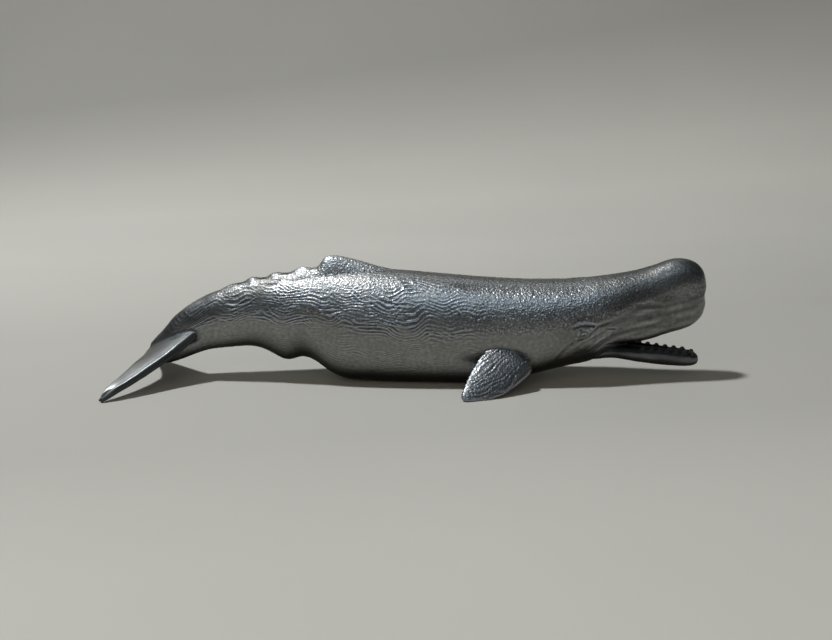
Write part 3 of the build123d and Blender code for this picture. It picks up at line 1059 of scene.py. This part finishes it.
def painted_shade_and_black():
    """How much dull black and painted shade each point gets, from 0 to 1."""
    black = sum(shade_and_black_left[name] * zone for name, zone in shade_and_black_zones().items())
    patchy = sum(patchy_shade_and_black_left[name] * zone for name, zone in patchy_zones().items())
    rag = rag_mean + rag_change * noise(skin / rag_size, seed=97)
    return np.clip(black + patchy * rag, 0, 1)


cheek = ramp(along, *cheek_start) * (1 - ramp(flank_angle, *cheek_top)) * body_share
hump_zone = near_hump * ramp(flank_angle, *hump_flank) * body_share
# Dull black and painted shade at each point, kept on the skin for the metal.
shade_and_black_share = painted_shade_and_black()
satin_share = np.clip(fluke_satin * fluke_share + hump_zone, 0, 1)
print("Dull black on", round(100 * float((shade_and_black_share > 0.5).mean())), "% of the skin")

# %% [markdown]
# ## Cutting the skin back into castings
# The worked skin is cut along the joints: down the middle plane for the body's two halves, and
# at the roots of jaw, flippers and fluke. Behind the rim of each cut a narrow lip turns inwards,
# and a lid closes the lip, so every casting is a solid. The normals are kept from the uncut skin,
# so no joint shows.

# %% Cut and close
lip_depth = 0.12
piece_nodes = {
    "whale_body_right": "body_shell_right",
    "whale_body_left": "body_shell_left",
    "whale_lower_jaw": "lower_jaw",
    "whale_flipper_right": "flipper_right",
    "whale_flipper_left": "flipper_left",
    "whale_tail_fluke": "tail_fluke",
}
point_marks = {
    "hollow_depth": depth,
    "grain_share": grain_share,
    "painted_shade_and_black": shade_and_black_share,
    "satin": satin_share,
}


def casting_of_square():
    """The number of the casting that each square belongs to."""
    part = shares[squares].mean(axis=1).argmax(axis=1)
    left = skin[squares][:, :, 1].mean(axis=1) > 0
    return np.where(part == 0, np.where(left, 1, 0), part + 1)


def open_loops(faces):
    """The rims of a cut piece, each as a closed row of points that are all different."""
    starts = np.concatenate([faces[:, k] for k in range(4)])
    ends = np.concatenate([faces[:, (k + 1) % 4] for k in range(4)])
    there = set(zip(starts.tolist(), ends.tolist()))
    follow = {}
    for a, b in sorted(there):
        if (b, a) not in there:
            follow.setdefault(b, []).append(a)
    loops = []
    while follow:
        walk = [next(iter(follow))]
        while walk[-1] in follow:
            here = walk[-1]
            after = follow[here].pop()
            if not follow[here]:
                del follow[here]
            if after in walk:
                start = walk.index(after)
                loops.append(walk[start:])
                walk = walk[:start + 1]
            else:
                walk.append(after)
    return loops


def lip_points(loop):
    """The rim's points, evened out a little and sunk below the skin."""
    at = worked[loop]
    softened = (np.roll(at, 1, axis=0) + 2 * at + np.roll(at, -1, axis=0)) / 4
    return softened - lip_depth * worked_normals[loop]


def closed_faces(faces):
    """Points and faces of a closed piece, and which point of the skin each point comes from."""
    used, renumbered = np.unique(faces, return_inverse=True)
    renumber = dict(zip(used.tolist(), range(len(used))))
    rows = renumbered.reshape(-1, 4).tolist()
    points, sources = [worked[used]], [used]
    count = len(used)
    for loop in open_loops(faces):
        rim = [renumber[i] for i in loop]
        lip = list(range(count, count + len(loop)))
        rows += [[rim[k - 1], rim[k], lip[k], lip[k - 1]] for k in range(len(loop))]
        rows.append(lip)
        points.append(lip_points(loop))
        sources.append(np.array(loop))
        count += len(loop)
    return np.concatenate(points), rows, np.concatenate(sources)


def keep_normals(mesh, source, skin_faces):
    """Gives the squares the uncut skin's normals, and leaves lip and lid flat."""
    corner_of = np.empty(len(mesh.loops), np.int64)
    mesh.loops.foreach_get("vertex_index", corner_of)
    kept = worked_normals[source][corner_of]
    for polygon in mesh.polygons[skin_faces:]:
        kept[polygon.loop_indices] = polygon.normal
    mesh.normals_split_custom_set(kept.tolist())


def build_casting(name, faces):
    """One closed piece from some squares of the worked skin."""
    points, rows, source = closed_faces(faces)
    mesh = bpy.data.meshes.new(name)
    mesh.from_pydata((points * MM).tolist(), [], rows)
    mesh.shade_smooth()
    keep_normals(mesh, source, len(faces))
    for label, values in point_marks.items():
        layer = mesh.attributes.new(label, "FLOAT", "POINT")
        layer.data.foreach_set("value", values[source].astype(np.float32))
    item = bpy.data.objects.new(name, mesh)
    bpy.context.scene.collection.objects.link(item)
    return item


def open_edges(mesh):
    """How many edges don't have exactly two faces: none in a closed piece."""
    edge_of = np.empty(len(mesh.loops), np.int64)
    mesh.loops.foreach_get("edge_index", edge_of)
    return int((np.bincount(edge_of, minlength=len(mesh.edges)) != 2).sum())


owner = casting_of_square()
pieces = []
for number, (piece_name, node_name) in enumerate(piece_nodes.items()):
    piece = build_casting(piece_name, squares[owner == number])
    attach(piece, "root")
    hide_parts(node_name)
    pieces.append(piece)
    print(piece_name, len(piece.data.vertices), "points,", open_edges(piece.data), "open edges")

# %% [markdown]
# ## The antiqued metal
# Zinc and tin castings are dipped in a dark bath, waxed and rubbed. The result mirrors like
# metal, but dimly: most of what it shows is the table. Dark wax in the hollows, bright rubbed
# crests with a painted blue sheen, a shine that is uneven from handling, dull black and painted
# shade in the zones above, and a fine punch grain on the upper skin are mixed here from noise
# and from the numbers kept at each point.

# %% The metal's recipe
dark_metal = (0.205, 0.206, 0.198, 1)
pale_metal = (0.305, 0.306, 0.296, 1)
# Rubbed crests: brighter from wear, and tinted blue as a painted sheen of the cool light they mirror.
rubbed_and_blue_sheen_metal = (0.43, 0.46, 0.50, 1)
dark_wax = (0.07, 0.075, 0.085, 1)
# The colour of the dull black and of the painted shade.
painted_shade_black = (0.036, 0.036, 0.033, 1)
wax_depths = (-0.01, 0.045)
rubbed_depths = (-0.05, -0.005)
handled_scale = 130.0
handled_range = (0.3, 0.7)
metal_roughness = (0.25, 0.35)
wax_roughness = 0.14
satin_roughness = 0.1
black_roughness = 0.2
fibre_detail = 4.0
punch_scale = 2300.0
punch_depth = 0.07 * MM
brush_scale = (260.0, 1500.0, 1500.0)
brush_strength = 0.8
brush_depth = 0.035 * MM


def point_mark(tree, name):
    """A number that is kept at each point of the skin."""
    return add_node(tree, "ShaderNodeAttribute", {"attribute_name": name}).outputs["Fac"]


def metal_colour(tree, wax, handled):
    """Metal, brighter on rubbed crests with a painted blue sheen, under dark wax, dull black and painted
    shade.
    """
    rubbed = grey_map(tree, point_mark(tree, "hollow_depth"), *rubbed_depths, 1.0, 0.0)
    plain = mixed(tree, handled, dark_metal, pale_metal)
    bright = mixed(tree, rubbed, plain, rubbed_and_blue_sheen_metal)
    waxed = mixed(tree, wax, bright, dark_wax)
    return mixed(tree, point_mark(tree, "painted_shade_and_black"), waxed, painted_shade_black)


def metal_dullness(tree, wax, handled):
    """Roughness: uneven from handling, and more under wax, satin, black and painted shade."""
    rough = grey_map(tree, handled, *handled_range, *metal_roughness)
    rough = maths(tree, "MULTIPLY_ADD", wax, wax_roughness, rough)
    rough = maths(tree, "MULTIPLY_ADD", point_mark(tree, "satin"), satin_roughness, rough)
    return maths(tree, "MULTIPLY_ADD", point_mark(tree, "painted_shade_and_black"), black_roughness, rough)


def punched_and_brushed(tree, place):
    """The finest relief: punch marks in the grain, and brush lines along the whale."""
    cells = {"Vector": place, "Scale": punch_scale}
    marks = add_node(tree, "ShaderNodeTexVoronoi", {"feature": "F1"}, cells).outputs["Distance"]
    punched = maths(tree, "MULTIPLY", marks, point_mark(tree, "grain_share"))
    punch = {"Height": punched, "Strength": 1.0, "Distance": punch_depth}
    below = add_node(tree, "ShaderNodeBump", None, punch).outputs["Normal"]
    stretched = add_node(tree, "ShaderNodeMapping", None, {"Vector": place, "Scale": brush_scale})
    brushed = clouds(tree, stretched.outputs["Vector"], 1.0, fibre_detail)
    brush = {"Height": brushed, "Strength": brush_strength, "Distance": brush_depth, "Normal": below}
    return add_node(tree, "ShaderNodeBump", None, brush).outputs["Normal"]


def antiqued_metal():
    """The dark, rubbed metal that all castings wear."""
    material, tree = new_material("antiqued_metal")
    shader = surface_of(tree)
    shader.inputs["Metallic"].default_value = 1.0
    place = add_node(tree, "ShaderNodeTexCoord").outputs["Object"]
    wax = grey_map(tree, point_mark(tree, "hollow_depth"), *wax_depths, 0.0, 1.0)
    handled = clouds(tree, place, handled_scale, fibre_detail)
    tree.links.new(metal_colour(tree, wax, handled), shader.inputs["Base Color"])
    tree.links.new(metal_dullness(tree, wax, handled), shader.inputs["Roughness"])
    tree.links.new(punched_and_brushed(tree, place), shader.inputs["Normal"])
    return material


metal = antiqued_metal()
for piece in pieces:
    piece.data.materials.append(metal)
for casting in castings.values():
    casting.data.materials.clear()
    casting.data.materials.append(metal)
print("Metal on", len(pieces), "pieces")

# %% [markdown]
# The dressed whale has to keep the castings' size. The castings' box is written down here.

# %% Sizes, written down
print("Frame box", [round(side / MM, 2) for side in (cad_high - cad_low)], "mm")
